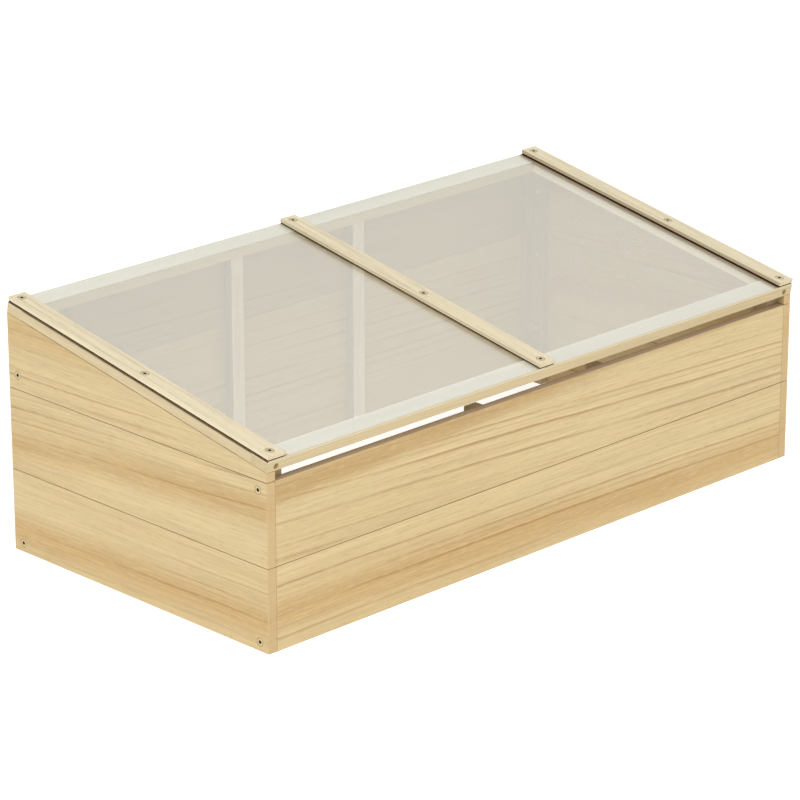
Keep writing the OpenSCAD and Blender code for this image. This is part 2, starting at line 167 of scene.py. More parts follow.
# Studio: lengths in metres, angles in degrees.
SENSOR_WIDTH = 36
CAMERA_PLACE = (-3.51705, -3.54884, 1.95973)
CAMERA_ANGLES = (44.562, 19.933, -0.064)  # bearing from +Y to +X, pitch down, roll
CAMERA_RANGE = 100
FLOOR_REACH = 40.0
FLOOR_ROUGHNESS = 0.9
KEY_PLACE = (-2.1, -2.1, 3.4)
KEY_SIZE = 3.0


def tint(red, green, blue):
    """A screen colour, 0 to 255, as the linear colour that shaders use."""
    def linear(value):
        value /= 255
        return value / 12.92 if value <= 0.04045 else ((value + 0.055) / 1.055) ** 2.4
    return (linear(red), linear(green), linear(blue))


# ---------------------------------------------------------------- settings

def colour(name, description, default):
    return bpy.props.FloatVectorProperty(
        name=name, description=description, default=default, size=3, subtype="COLOR", min=0, max=1)


def amount(name, description, default, top=1.0):
    return bpy.props.FloatProperty(
        name=name, description=description, default=default, min=0, max=top, subtype="FACTOR")


def length(name, description, default):
    return bpy.props.FloatProperty(
        name=name, description=description, default=default, min=0, unit="LENGTH", precision=4)


class TimberSettings(bpy.types.PropertyGroup):
    """Planed softwood of the walls, battens and lid."""
    sapwood: colour("Sapwood", "Pale wood between the growth rings", tint(205, 183, 137))
    ring: colour("Ring", "Dark line of each growth ring", tint(158, 118, 66))
    warm: colour("Warm band", "Warm heartwood bands", tint(193, 162, 110))
    # Painted shade under the lid's front rail, along the front wall's top edge.
    shaded: colour("Shaded band", "Dull warm band along the front wall's top edge",
                   tint(184, 154, 103))
    # Painted shade on the front wall's top face, under the lid.
    shaded_top: colour("Dusty top", "Greyed top face of the front wall", tint(178, 156, 130))
    # Painted shade on the inner faces of the walls, also mixed into the front and side battens.
    inner: colour("Inner faces", "Stain on the inner faces of the walls", tint(110, 92, 76))
    batten: colour("Rear batten", "Pale wood of the battens on the rear wall", tint(228, 218, 192))
    end_grain: colour("End grain", "Sawn ends of the wall boards", tint(192, 164, 118))
    rail: colour("Rail", "Pale wood of the lid rails", tint(202, 184, 145))
    front_rail: colour("Front rail", "Duller wood of the lid's front rail", tint(192, 173, 133))
    # Painted light on the rail faces under the sheets.
    glow_under_glazing: colour("Under glazing", "Bleached faces under the sheets", tint(255, 251, 230))
    strip: colour("Strip", "Pale wood of the strips", tint(228, 215, 182))
    lid_ring: colour("Lid ring", "Ring lines of the rails and strips", tint(184, 160, 118))
    lid_warm: colour("Lid warm band", "Warm bands of the rails and strips", tint(212, 192, 152))
    ring_spacing: length("Ring spacing", "Distance between two growth rings", 0.0105)
    edge_round: length("Edge rounding", "Width of the sanded edges", 0.0006)
    wear: amount("Edge wear", "How much the edges are rubbed pale", 0.35)
    # How strongly the painted shade lies on the inner faces.
    inner_shade: amount("Inner stain", "How strongly the inner faces are stained", 0.24)
    relief: amount("Grain relief", "Height of the grain in the bump", 0.25)


class SheetSettings(bpy.types.PropertyGroup):
    """Clear plastic glazing with a light haze."""
    haze: colour("Haze", "Colour that the sheet adds", tint(252, 250, 234))
    cover: amount("Cover", "Share of each face that hides what is behind it", 0.18)
    border: amount("Border cover", "The same share over the rails, where the sheet lies", 0.6)
    rim: length("Border width", "Width of the frosted border", 0.03)
    # Painted shade on the cut edges of the sheets under the strips.
    sawn: colour("Sawn edge", "Dusty cut edges of the sheets under the strips", tint(98, 74, 40))
    lip: colour("Front edge", "Cut front and rear edges of the sheets", tint(204, 190, 160))
    # Painted shade in the corner of a sheet and an outer strip.
    strip_shade: colour("Dirt", "Dirt in the corner of a sheet and an outer strip", tint(62, 38, 12))
    # Painted reflection and shade of the outer strips on the sheets beside them, and how much of
    # the sheet it hides.
    strip_reflection: colour("Dirt film", "Thin dirt on the sheets beside the outer strips",
                 tint(156, 128, 104))
    reflection_cover: amount("Dirt strength", "How much of the sheet the thin dirt hides", 0.88)
    gloss: amount("Roughness", "Roughness of the sheet's faces", 0.05)
    mirror: amount("Mirror", "Share of the light that a face mirrors head on", 0.125)
    # The tape's near-black brown is painted shade for the slot under each strip.
    tape: colour("Sealing tape", "Foam rubber tape under the strips", tint(52, 29, 5))


class HardwareSettings(bpy.types.PropertyGroup):
    """Screws, nails and hinges."""
    screw: colour("Screw", "Yellow passivated steel", tint(228, 212, 172))
    wall_screw: colour("Wall screw", "The same steel, dulled by dust", tint(200, 180, 138))
    sunk_screw: colour("Sunk screw", "The steel of the screws sunk in the lid frame",
                       tint(224, 202, 100))
    # Painted shade in the countersunk rim around each head and in its cross socket.
    rim: colour("Screw rim", "Dark rim of each countersunk head", tint(116, 98, 58))
    socket: colour("Screw socket", "Dark cross socket of each head", tint(44, 30, 12))
    rim_share: amount("Rim strength", "How strongly the rim shows", 0.6)
    head: length("Screw head", "Diameter of the wall and strip screw heads", 0.012)
    nail: colour("Nail", "Drawn steel dulled by the wood", tint(216, 206, 182))
    hinge: colour("Hinge", "Zinc plated steel", tint(196, 196, 192))


class StudioSettings(bpy.types.PropertyGroup):
    """Camera, floor and light."""
    lens: bpy.props.FloatProperty(
        name="Focal length", description="On a sensor 36 mm wide", default=174.59, unit="CAMERA")
    floor: colour("Floor", "Colour of the floor", tint(212, 212, 212))
    glow: amount("Floor glow", "Light that the floor itself gives", 0.7)
    sky: amount("Sky strength", "Strength of the even light", 0.85, top=4.0)
    key: bpy.props.FloatProperty(
        name="Key light", description="Power of the soft light above the front",
        default=50.0, min=0, unit="POWER")


# ---------------------------------------------------------------- node helpers

class Sketch:
    """Adds nodes to one tree in short calls; each call returns an output socket."""

    def __init__(self, tree):
        self.tree = tree

    def put(self, socket, value):
        if isinstance(value, bpy.types.NodeSocket):
            self.tree.links.new(value, socket)
        elif socket.type == "RGBA" and len(value) == 3:
            socket.default_value = (*value, 1)
        else:
            socket.default_value = value

    def add(self, kind, values, out=0, **fields):
        node = self.tree.nodes.new(kind)
        for field, setting in fields.items():
            setattr(node, field, setting)
        for key, value in values.items():
            self.put(node.inputs[key], value)
        return node.outputs[out]

    def sums(self, operation, a, b=0.0, clamp=False):
        return self.add("ShaderNodeMath", {0: a, 1: b}, operation=operation, use_clamp=clamp)

    def times(self, *factors):
        """The product of two or more values."""
        product = factors[0]
        for factor in factors[1:]:
            product = self.sums("MULTIPLY", product, factor)
        return product

    def vector(self, operation, a, b=(0, 0, 0)):
        out = "Value" if operation in ("LENGTH", "DOT_PRODUCT") else "Vector"
        return self.add("ShaderNodeVectorMath", {0: a, 1: b}, out=out, operation=operation)

    def scaled(self, vector, factor):
        return self.add("ShaderNodeVectorMath", {"Vector": vector, "Scale": factor},
                        operation="SCALE")

    def noise(self, place, stretch, detail=2.0, roughness=0.5, out="Fac"):
        stretched = self.vector("MULTIPLY", place, stretch)
        return self.add("ShaderNodeTexNoise",
                        {"Vector": stretched, "Scale": 1.0, "Detail": detail,
                         "Roughness": roughness}, out=out)

    def ramp(self, value, low, high, start=0.0, end=1.0):
        return self.add("ShaderNodeMapRange",
                        {"Value": value, "From Min": low, "From Max": high,
                         "To Min": start, "To Max": end}, interpolation_type="SMOOTHSTEP")

    def blend(self, factor, a, b):
        return self.add("ShaderNodeMix", {0: factor, 6: a, 7: b}, out=2, data_type="RGBA")

    def split(self, vector):
        node = self.tree.nodes.new("ShaderNodeSeparateXYZ")
        self.put(node.inputs[0], vector)
        return node.outputs[0], node.outputs[1], node.outputs[2]


SOCKETS = {"colour": "NodeSocketColor", "value": "NodeSocketFloat", "vector": "NodeSocketVector"}


def new_group(name, inputs, outputs):
    """An empty shader node group; inputs and outputs are (name, kind) pairs."""
    tree = bpy.data.node_groups.new(name, "ShaderNodeTree")
    for direction, sockets in (("INPUT", inputs), ("OUTPUT", outputs)):
        for label, kind in sockets:
            tree.interface.new_socket(label, in_out=direction, socket_type=SOCKETS[kind])
    source = tree.nodes.new("NodeGroupInput")
    sink = tree.nodes.new("NodeGroupOutput")
    return tree, Sketch(tree), source.outputs, sink.inputs


def figure_group():
    """Growth rings, fibres and warm bands of a planed softwood board.

    Place is the board's own space with the grain along X. Pith is the way from the
    heart of the tree to the board's middle, and Tilt how the grain runs out. Band is
    the height, the reach and the power of a warm band, and Band tilt its slope.
    """
    tree, sketch, given, result = new_group(
        "Timber figure",
        [("Place", "vector"), ("Pith", "vector"), ("Tilt", "vector"), ("Seed", "vector"),
         ("Sapwood", "colour"), ("Ring", "colour"), ("Warm", "colour"),
         ("Spacing", "value"), ("Strength", "value"), ("Warmth", "value"),
         ("Band", "vector"), ("Band tilt", "value")],
        [("Colour", "colour"), ("Height", "value"), ("Roughness", "value")])
    place = given["Place"]
    along, _, across = sketch.split(place)
    beside = sketch.sums("ADD", across, sketch.times(along, given["Band tilt"]))
    shifted = sketch.vector("ADD", place, given["Seed"])

    line = sketch.vector("ADD", place, given["Pith"])
    line = sketch.vector("ADD", line, sketch.scaled(given["Tilt"], along))
    for cells, reach in ((WANDER_CELLS, WANDER_REACH), (RIPPLE_CELLS, RIPPLE_REACH)):
        stray = sketch.vector("SUBTRACT", sketch.noise(shifted, cells, out="Color"),
                              (0.5, 0.5, 0.5))
        line = sketch.vector("ADD", line, sketch.vector("MULTIPLY", stray, reach))
    radius = sketch.vector("LENGTH", sketch.vector("MULTIPLY", line, (0, 1, 1)))
    # Rings stand closer in some years than in others.
    drift = sketch.add("ShaderNodeTexNoise",
                       {"W": radius, "Scale": YEAR_CELLS, "Detail": 1.0}, noise_dimensions="1D")
    turns = sketch.sums("ADD", sketch.sums("DIVIDE", radius, given["Spacing"]),
                        sketch.times(drift, YEAR_SHIFT))
    phase = sketch.sums("FRACT", turns)
    # Each ring darkens slowly and ends sharply.
    late = sketch.times(sketch.sums("POWER", sketch.ramp(phase, *RING_RISE), RING_LATENESS),
                        sketch.ramp(phase, *RING_END, 1.0, 0.0))
    # Some rings leave a strong line and others hardly any.
    year = sketch.add("ShaderNodeTexWhiteNoise", {"W": sketch.sums("FLOOR", turns)},
                      noise_dimensions="1D")
    late = sketch.times(late, sketch.ramp(year, 0.15, 0.95, *RING_LINES))
    fine = sketch.add("ShaderNodeTexNoise", {"W": radius, "Scale": FINE_CELLS, "Detail": 4.0,
                                             "Roughness": 0.7}, noise_dimensions="1D")
    patch = sketch.ramp(sketch.noise(shifted, PATCH_CELLS), 0.4, 0.62, 0.08, 1.0)
    ring = sketch.times(late, patch, given["Strength"])

    streak = sketch.noise(shifted, STREAK_CELLS, detail=3.0, roughness=0.6)
    fibre = sketch.noise(shifted, FIBRE_CELLS, detail=3.0, roughness=0.65)
    fleck = sketch.ramp(sketch.noise(shifted, FLECK_CELLS, detail=1.0), 0.56, 0.7)
    pore = sketch.ramp(sketch.noise(shifted, PORE_CELLS, detail=1.0), 0.58, 0.72)

    cloud = sketch.ramp(sketch.noise(shifted, CLOUD_CELLS, detail=3.0), 0.46, 0.7)
    height, reach, power = sketch.split(given["Band"])
    ragged = sketch.sums("MULTIPLY_ADD", sketch.noise(shifted, RAGGED_CELLS, detail=3.0),
                         RAGGED_REACH)
    ragged.node.inputs[2].default_value = -RAGGED_REACH / 2
    away = sketch.sums("ABSOLUTE", sketch.sums(
        "SUBTRACT", sketch.sums("ADD", beside, ragged), height))
    band = sketch.times(power, sketch.sums(
        "SUBTRACT", 1.0, sketch.ramp(sketch.sums("DIVIDE", away, reach), 0.0, 1.0)))
    warm = sketch.sums("ADD", sketch.times(cloud, given["Warmth"]), band, clamp=True)

    shade = sketch.blend(warm, given["Sapwood"], given["Warm"])
    shade = sketch.blend(ring, shade, given["Ring"])
    shade = sketch.scaled(shade, sketch.ramp(fine, *NOISE_SPAN, *FINE_TONES))
    shade = sketch.blend(sketch.times(pore, PORE_SHARE), shade, given["Ring"])
    streaked = sketch.scaled(shade, sketch.ramp(streak, *NOISE_SPAN, *STREAK_TONES))
    shade = sketch.blend(sketch.sums("MULTIPLY", given["Strength"], 1.6, clamp=True),
                         shade, streaked)
    shade = sketch.scaled(shade, sketch.ramp(fibre, *NOISE_SPAN, *FIBRE_TONES))
    pale = sketch.scaled(given["Sapwood"], FLECK_TONE)
    sketch.put(result["Colour"], sketch.blend(sketch.times(fleck, FLECK_SHARE), shade, pale))
    relief = sketch.sums("ADD", sketch.times(fibre, 0.6), sketch.times(ring, -0.4))
    sketch.put(result["Height"], relief)
    sketch.put(result["Roughness"], sketch.ramp(fibre, *NOISE_SPAN, *TIMBER_ROUGHNESS))
    return tree


def edge_group():
    """Masks for the edges, the cut ends and the faces of a board.

    Seam masks the long edges and Butt the edges of the cut ends, both over Line.
    Flank masks the two sides, and Left half the half that +Y of Place is in.
    """
    tree, sketch, given, result = new_group(
        "Board edges",
        [("Place", "vector"), ("Half size", "vector"), ("Reach", "value"), ("Line", "value")],
        [("Rubbed", "value"), ("Seam", "value"), ("Butt", "value"), ("Cut end", "value"),
         ("Flank", "value"), ("Left half", "value"), ("Upper face", "value")])
    inset = sketch.vector("SUBTRACT", given["Half size"],
                          sketch.vector("ABSOLUTE", given["Place"]))
    x, y, z = sketch.split(inset)
    seam = sketch.sums("ADD", y, z)
    butt = sketch.sums("MINIMUM", sketch.sums("ADD", x, y), sketch.sums("ADD", z, x))
    nearest = sketch.sums("MINIMUM", seam, butt)
    rubbed = sketch.ramp(sketch.sums("DIVIDE", nearest, given["Reach"]), 0.0, 1.0, 1.0, 0.0)
    for label, gap in (("Seam", seam), ("Butt", butt)):
        sketch.put(result[label], sketch.ramp(sketch.sums("DIVIDE", gap, given["Line"]),
                                              0.15, 1.0, 1.0, 0.0))
    worn = sketch.ramp(sketch.noise(given["Place"], RUB_CELLS, detail=3.0), 0.35, 0.65)
    sketch.put(result["Rubbed"], sketch.times(rubbed, worn))
    sketch.put(result["Cut end"], sketch.ramp(x, *SIDE_SKIN, 1.0, 0.0))
    sketch.put(result["Flank"], sketch.ramp(y, *SIDE_SKIN, 1.0, 0.0))
    _, sideways, upward = sketch.split(given["Place"])
    sketch.put(result["Left half"], sketch.sums("GREATER_THAN", sideways, 0.0))
    sketch.put(result["Upper face"], sketch.times(
        sketch.sums("GREATER_THAN", upward, 0.0), sketch.ramp(z, *TOP_SKIN, 1.0, 0.0)))
    return tree


def metal_group():
    """Fine drawn marks and spots on small steel parts."""
    tree, sketch, given, result = new_group(
        "Steel surface",
        [("Place", "vector"), ("Base", "colour"), ("Worn", "colour")],
        [("Colour", "colour"), ("Height", "value"), ("Roughness", "value")])
    cloud = sketch.noise(given["Place"], SPOT_CELLS, detail=3.0)
    scratch = sketch.noise(given["Place"], SCRATCH_CELLS, detail=2.0)
    spots = sketch.ramp(cloud, 0.42, 0.66)
    sketch.put(result["Colour"], sketch.blend(spots, given["Base"], given["Worn"]))
    sketch.put(result["Height"], sketch.sums("ADD", scratch, sketch.times(cloud, 0.5)))
    sketch.put(result["Roughness"], sketch.ramp(scratch, *NOISE_SPAN, *STEEL_ROUGHNESS))
    return tree


GROUPS = {}


def group(name, make):
    if name not in GROUPS:
        GROUPS[name] = make()
    return GROUPS[name]


def new_material(name):
    """A material with one Principled shader; returns it, its sketch and the shader."""
    material = bpy.data.materials.new(name)
    material.use_nodes = True
    tree = material.node_tree
    return material, Sketch(tree), tree.nodes["Principled BSDF"]


def add_group(sketch, tree, values):
    node = sketch.tree.nodes.new("ShaderNodeGroup")
    node.node_tree = tree
    for key, value in values.items():
        sketch.put(node.inputs[key], value)
    return node.outputs


def add_bump(sketch, shader, height, strength, distance):
    bump = sketch.add("ShaderNodeBump",
                      {"Height": height, "Strength": strength, "Distance": distance})
    sketch.put(shader.inputs["Normal"], bump)


def give_finish(node, material):
    """Gives a CAD node's object this material alone."""
    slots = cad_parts[node].data.materials
    slots.clear()
    slots.append(material)


# ---------------------------------------------------------------- timber

def board_size(node, turn):
    """The middle and half size of a board in its own grain space."""
    matrix = turn.to_matrix()
    points = [matrix @ v.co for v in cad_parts[node].data.vertices]
    low = Vector([min(p[i] for p in points) for i in range(3)])
    high = Vector([max(p[i] for p in points) for i in range(3)])
    return (low + high) / 2, (high - low) / 2


def timber(node, turn, colours, pith, seed, strength, warmth, tilt=(0, 0.02, 0.03),
           band=(0, 0.02, 0), band_tilt=None, spacing=1.0, line=0.0008, seam=0.0,
           outer_seam=0.0, butt=0.0, end=None, flank=0.0, upper=None, inner=None):
    """Finishes one board: pith, tilt and band are in its own grain space.

    Colours are the sapwood, the rings and the warm bands. A band runs with the
    grain unless band_tilt gives its slope. Seam and butt darken the long and the
    end edges over the width of line with painted shade, and flank the sides. End
    and upper are each the colour and the share of an overlay on the cut ends and
    the top face: end grain on the cut ends, and on the top face painted shade for
    the front wall and the rear battens, painted light for the lid rails. Inner is
    1 or -1 for a board whose inner face looks along or against the +Y of its grain
    space, with the colour and the share of that face's painted shade on the walls,
    painted light on the lid's side rails, and outer_seam darkens the long edges
    away from it with painted shade.
    """
    look = bpy.context.scene.cold_frame_timber
    material, sketch, shader = new_material(f"Timber {node}")
    middle, half = board_size(node, turn)
    source = sketch.add("ShaderNodeTexCoord", {}, out="Object")
    place = sketch.add("ShaderNodeMapping",
                       {"Vector": source, "Rotation": turn, "Location": -middle})
    draw = random.Random(seed)
    offset = [draw.uniform(-20, 20) for _ in range(3)]
    sapwood, ring, warm = colours
    figure = add_group(sketch, group("Timber figure", figure_group), {
        "Place": place, "Pith": pith, "Tilt": tilt, "Seed": offset,
        "Sapwood": sapwood, "Ring": ring, "Warm": warm,
        "Spacing": look.ring_spacing * spacing, "Strength": strength,
        "Warmth": warmth, "Band": band,
        "Band tilt": tilt[2] if band_tilt is None else band_tilt})
    edges = add_group(sketch, group("Board edges", edge_group), {
        "Place": place, "Half size": half, "Reach": RUB_REACH, "Line": line})
    pale = [min(1.0, c * RUBBED_TONE) for c in sapwood]
    # Painted shade for the joints, the flanks and the outer edges, from the ring colour.
    edge_shade = [c * EDGE_SHADE_TONE for c in ring]
    shade = figure["Colour"]
    # The cut-end overlay is end grain; the top-face overlay is painted shade on the front wall and
    # the rear battens, painted light on the lid rails.
    for label, overlay in (("Cut end", end), ("Upper face", upper)):
        if overlay:
            shade = sketch.blend(sketch.times(edges[label], overlay[1]), shade, overlay[0])
    rubbed = sketch.times(edges["Rubbed"], look.wear)
    height = figure["Height"]
    if inner:
        side, overlay, share = inner
        outside = edges["Left half"]
        if side > 0:
            outside = sketch.sums("SUBTRACT", 1.0, outside)
        inside = sketch.times(edges["Flank"], sketch.sums("SUBTRACT", 1.0, outside))
        # The inner face takes painted shade on the walls and painted light on the lid's side
        # rails.
        shade = sketch.blend(sketch.times(inside, share), shade, overlay)
        # Hands and weather reach the outer faces alone.
        rubbed = sketch.times(rubbed, outside)
        height = sketch.times(height, sketch.ramp(outside, 0.0, 1.0, INNER_RELIEF, 1.0))
        if outer_seam:
            # Painted shade along the outer long edges.
            shade = sketch.blend(sketch.times(edges["Seam"], outside, outer_seam),
                                 shade, edge_shade)
    shade = sketch.blend(rubbed, shade, pale)
    # Painted shade on the flanks, in the long joints and at the butt joints.
    for label, share in (("Flank", flank), ("Seam", seam), ("Butt", butt)):
        if share:
            shade = sketch.blend(sketch.times(edges[label], share), shade, edge_shade)
    sketch.put(shader.inputs["Base Color"], shade)
    sketch.put(shader.inputs["Roughness"], sketch.sums(
        "ADD", figure["Roughness"], sketch.times(edges["Cut end"], CUT_END_ROUGHER)))
    shader.inputs["Specular IOR Level"].default_value = TIMBER_SHEEN
    add_bump(sketch, shader, height, look.relief, GRAIN_DEPTH)
    give_finish(node, material)
    ease_edges(node, look.edge_round)


def ease_edges(node, width):
    """Sands the sharp edges of a board."""
    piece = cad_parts[node]
    weld = piece.modifiers.new("Weld", "WELD")
    weld.merge_threshold = WELD_REACH
    bevel = piece.modifiers.new("Eased edges", "BEVEL")
    bevel.width = width
    bevel.segments = 2
    bevel.limit_method = "ANGLE"
    bevel.angle_limit = SHARP_ANGLE
    bevel.use_clamp_overlap = True
    shading = piece.modifiers.new("Flat faces", "WEIGHTED_NORMAL")
    shading.keep_sharp = False


class FinishSideWalls(bpy.types.Operator):
    """Finish the three boards of each side wall"""
    bl_idname = "coldframe.finish_side_walls"
    bl_label = "Side Walls"

    # How far the heart lies below each row, the grain's run-out and the warm band.
    rows = ((0.17, 0.012, (-0.022, 0.036, 0.8)),
            (-0.19, 0.076, (0.002, 0.032, 0.85)),
            (0.11, 0.012, (0.034, 0.040, 0.7)))

    def execute(self, context):
        look = context.scene.cold_frame_timber
        colours = (look.sapwood, look.ring, look.warm)
        for index, node in enumerate(SIDE_BOARDS):
            heart, runout, band = self.rows[index % len(self.rows)]
            facing = -1 if node.startswith("left") else 1
            # Each board takes painted shade in its seams and on its inner face.
            timber(node, ALONG_Y, colours, seed=11 + index, strength=0.6, warmth=0.3,
                   pith=(0, 0.045 + 0.004 * index, heart), tilt=(0, 0.03, runout), band=band,
                   seam=0.25, end=(look.end_grain, 0.75),
                   inner=(facing, look.inner, look.inner_shade))
        return {"FINISHED"}


class FinishEndWalls(bpy.types.Operator):
    """Finish the boards of the front and rear walls"""
    bl_idname = "coldframe.finish_end_walls"
    bl_label = "Front and Rear Walls"

    # How far the heart lies below each board, the grain's run-out and the warm band, which on the
    # front wall's top board is a painted shade band.
    rows = ((0.16, 0.022, (-0.018, 0.040, 0.95)),
            (0.14, 0.048, (0.058, 0.027, 1.2)),
            (-0.12, -0.02, (0.0, 0.02, 0.3)),
            (0.15, 0.03, (0.03, 0.03, 0.3)),
            (-0.12, 0.02, (0.0, 0.03, 0.3)))

    def execute(self, context):
        look = context.scene.cold_frame_timber
        for index, node in enumerate(END_BOARDS):
            heart, runout, band = self.rows[index]
            facing = 1 if node.startswith("front") else -1
            # Seams, butt joints and inner faces take painted shade, inside stronger on the rear
            # wall's top board.
            inner_shade = look.inner_shade * (TOP_BOARD_SHADE if node == "back_board_top" else 1.0)
            warm, slope, upper = look.warm, None, None
            # The front wall's top board takes a painted shade band under the lid's front rail and
            # painted shade on its top face.
            if node == "front_board_upper":
                warm, slope, upper = look.shaded, SHADED_BAND_SLOPE, (look.shaded_top, 0.85)
            timber(node, ALONG_X, (look.sapwood, look.ring, warm), seed=31 + index,
                   strength=0.65, warmth=0.3, pith=(0, -0.052, heart), tilt=(0, 0.022, runout),
                   band=band, band_tilt=slope, seam=0.3, butt=0.6,
                   inner=(facing, look.inner, inner_shade), upper=upper)
        return {"FINISHED"}


class FinishBattens(bpy.types.Operator):
    """Finish the battens that join the boards inside the walls"""
    bl_idname = "coldframe.finish_battens"
    bl_label = "Battens"

    def execute(self, context):
        look = context.scene.cold_frame_timber
        # The front and side battens stand in the box's shade: painted shade mixes their sapwood
        # with the inner faces' colour.
        shaded_wood = [(a + b) / 2 for a, b in zip(look.sapwood, look.inner)]
        for index, node in enumerate(BATTENS):
            colours, flank, upper = (shaded_wood, look.ring, look.warm), 0.0, None
            if node.startswith("back_batten"):
                # The rear battens take painted shade on their flanks and on their left side, the
                # upper face of their grain space.
                colours, flank = (look.batten, look.lid_ring, look.lid_warm), 0.12
                upper = (look.inner, 0.6)
            timber(node, ALONG_Z, colours, seed=51 + index, strength=0.35, warmth=0.2,
                   pith=(0, 0.02 + 0.004 * index, 0.03), spacing=0.6, flank=flank, upper=upper)
        return {"FINISHED"}


class FinishLidRails(bpy.types.Operator):
    """Finish the four rails of the lid"""
    bl_idname = "coldframe.finish_lid_rails"
    bl_label = "Lid Rails"

    def execute(self, context):
        look = context.scene.cold_frame_timber
        # Each rail's colour, and the way its inner face looks where that face takes painted light
        # under the glazing.
        rails = (("lid_front_rail", ACROSS_LID, look.front_rail, None),
                 ("lid_rear_rail", ACROSS_LID, look.rail, None),
                 ("lid_left_rail", DOWN_LID, look.rail, -1),
                 ("lid_right_rail", DOWN_LID, look.rail, 1))
        for index, (node, turn, wood, facing) in enumerate(rails):
            # The top faces take painted light under the glazing, and the side rails' outer long
            # edges painted shade.
            timber(node, turn, (wood, look.lid_ring, look.lid_warm), seed=71 + index,
                   strength=0.3, warmth=0.3, pith=(0, 0.03, 0.04), spacing=0.7, line=0.0014,
                   outer_seam=0.75, upper=(look.glow_under_glazing, 0.8),
                   inner=(facing, look.glow_under_glazing, 0.8) if facing else None)
        return {"FINISHED"}


class FinishStrips(bpy.types.Operator):
    """Finish the three strips that hold the sheets down"""
    bl_idname = "coldframe.finish_strips"
    bl_label = "Strips"

    def execute(self, context):
        look = context.scene.cold_frame_timber
        colours = (look.strip, look.lid_ring, look.lid_warm)
        # The sides of the strips take painted shade, stronger towards the right.
        for index, (node, flank) in enumerate(zip(STRIPS, (0.1, 0.2, 0.5))):
            timber(node, DOWN_LID, colours, seed=81 + index, strength=0.15, warmth=0.1,
                   pith=(0, 0.02, 0.05), spacing=0.7, end=(look.lid_ring, 0.5), flank=flank)
        return {"FINISHED"}


# ---------------------------------------------------------------- glazing

class FinishSheets(bpy.types.Operator):
    """Finish the two glazing sheets"""
    bl_idname = "coldframe.finish_sheets"
    bl_label = "Glazing Sheets"

    def execute(self, context):
        look = context.scene.cold_frame_sheet
        material, sketch, shader = new_material("Glazing sheet")
        source = sketch.add("ShaderNodeTexCoord", {}, out="Object")
        shader.inputs["Roughness"].default_value = SHEET_ROUGHNESS
        shader.inputs["Specular IOR Level"].default_value = SHEET_SHEEN
        place, across, down = self.measure(sketch, source)
        # The border that lies on the rails hides more of what is behind it.
        inset = sketch.sums("SUBTRACT", sketch.sums("MINIMUM", across, down), look.rim)
        cover = sketch.ramp(inset, -BORDER_BLUR, BORDER_BLUR, look.border, look.cover)
        # Painted reflection and shade of the outer strips on the sheets beside them, and painted
        # shade in the corner under them.
        strip_reflection, corner = self.strip_shade(sketch, place, look.reflection_cover)
        strip_shade = sketch.sums("MAXIMUM", strip_reflection, corner)
        cover = sketch.sums("MAXIMUM", cover, strip_shade)
        # The cut edges under the strips take painted shade; the front and rear cut edges keep
        # their own colour.
        sawn = sketch.ramp(across, *CUT_SKIN, 1.0, 0.0)
        lip = sketch.ramp(down, *CUT_SKIN, 1.0, 0.0)
        cut = sketch.sums("MAXIMUM", sawn, lip)
        sketch.put(shader.inputs["Alpha"], sketch.ramp(cut, 0.0, 1.0, cover, CUT_COVER))

        smear = sketch.noise(source, (6, 6, 6), detail=4.0, roughness=0.6)
        shade = sketch.blend(sketch.ramp(smear, 0.35, 0.7), look.haze,
                             [c * SMEAR_TONE for c in look.haze])
        # Painted reflection beside the strips, painted shade in their corners and on the cut edges
        # under them, and the front edges' own colour.
        for mask, overlay in ((strip_reflection, look.strip_reflection), (corner, look.strip_shade), (lip, look.lip),
                           (sawn, look.sawn)):
            shade = sketch.blend(mask, shade, overlay)
        sketch.put(shader.inputs["Base Color"], shade)
        self.add_mirror(material, sketch, shader, look, sketch.sums("MAXIMUM", cut, strip_shade))
        for node in SHEETS:
            give_finish(node, material)
        return {"FINISHED"}

    @staticmethod
    def measure(sketch, source):
        """The place in the lid's space, and how far in from the lid's side and end edges."""
        front, half = board_size("lid_front_rail", ACROSS_LID)
        rear, _ = board_size("lid_rear_rail", ACROSS_LID)
        middle = Vector((front.x, (front.y + rear.y) / 2, front.z))
        reach = (rear.y - front.y) / 2 + half.y
        place = sketch.add("ShaderNodeMapping",
                           {"Vector": source, "Rotation": ACROSS_LID, "Location": -middle})
        inset = sketch.vector("SUBTRACT", (half.x, reach, 0), sketch.vector("ABSOLUTE", place))
        across, down, _ = sketch.split(inset)
        return place, across, down

    @staticmethod
    def strip_shade(sketch, place, reflection_cover):
        """Masks for the painted reflection and shade beside the outer strips and the painted shade
        in the corner under them.
        """
        strip_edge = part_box("right_strip")[0][0]
        side, _, _ = sketch.split(sketch.vector("ABSOLUTE", place))
        away = sketch.sums("ABSOLUTE", sketch.sums("SUBTRACT", side, strip_edge))
        return (sketch.ramp(away, *REFLECTION_FADE, reflection_cover, 0.0),
                sketch.ramp(away, *CORNER_FADE, CORNER_COVER, 0.0))

    @staticmethod
    def add_mirror(material, sketch, shader, look, dull):
        """Mixes in a mirror that grows as the face is looked along; dull masks it."""
        facing = sketch.add("ShaderNodeLayerWeight", {"Blend": 0.5}, out="Facing")
        rise = sketch.times(sketch.sums("POWER", facing, MIRROR_CURVE), MIRROR_RISE)
        share = sketch.times(sketch.sums("ADD", rise, look.mirror),
                             sketch.sums("SUBTRACT", 1.0, dull))
        mirror = sketch.add("ShaderNodeBsdfGlossy",
                            {"Color": MIRROR_TINT, "Roughness": look.gloss})
        mixed = sketch.add("ShaderNodeMixShader", {0: share, 1: shader.outputs[0], 2: mirror})
        sketch.put(material.node_tree.nodes["Material Output"].inputs["Surface"], mixed)


